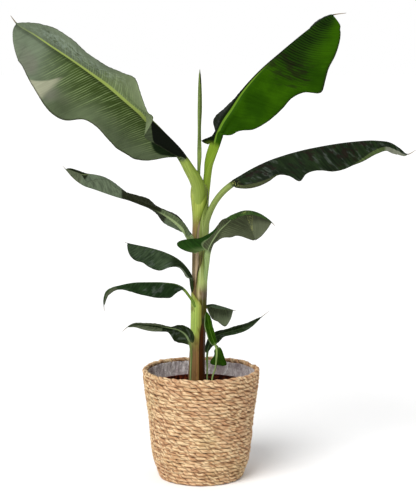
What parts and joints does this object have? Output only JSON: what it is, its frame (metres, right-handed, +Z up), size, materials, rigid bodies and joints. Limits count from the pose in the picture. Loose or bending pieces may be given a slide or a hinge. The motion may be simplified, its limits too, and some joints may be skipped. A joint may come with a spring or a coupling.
{
  "type": "potted banana plant in a rope basket",
  "caption": "Young banana plant with arching blotched leaves and small suckers, in a nursery pot of soil inside a film-lined basket of coiled rope.",
  "frame": {"origin": "centre of the basket's flat base, on the floor", "axes": "+Z up along the basket's axis; +X to the right and +Y away from someone who faces the plant"},
  "size_m": [0.7799, 0.4183, 0.9313],
  "materials": {
    "rope": "dry twisted plant fibre",
    "plastic_film": "thin grey film with wrinkles and glints",
    "pot_plastic": "satin brown",
    "soil": "damp crumbly potting soil",
    "stem": "smooth green and brown-red leaf sheaths",
    "leaf_bright": "satin leaf, fresh green",
    "leaf_dark": "satin leaf, dark green with maroon blotches",
    "leaf_underside_pale": "leaf underside with a grey bloom"
  },
  "bodies": {
    "root": {"basket": "rope", "liner": "plastic_film", "nursery_pot": "pot_plastic", "soil": "soil", "pseudostem": "stem", "leaf_upper_left": "leaf_underside_pale", "leaf_upper_right": "leaf_bright", "leaf_right_long": "leaf_dark", "leaf_left_long": "leaf_underside_pale", "leaf_right_folded": "leaf_dark", "leaf_left_short": "leaf_dark", "leaf_left_drooping": "leaf_dark", "leaf_right_behind": "leaf_underside_pale", "sucker_leaf_left": "leaf_dark", "sucker_leaf_right": "leaf_dark", "sucker_front": "leaf_bright", "spear_leaf": "stem"}
  },
  "joints": []
}
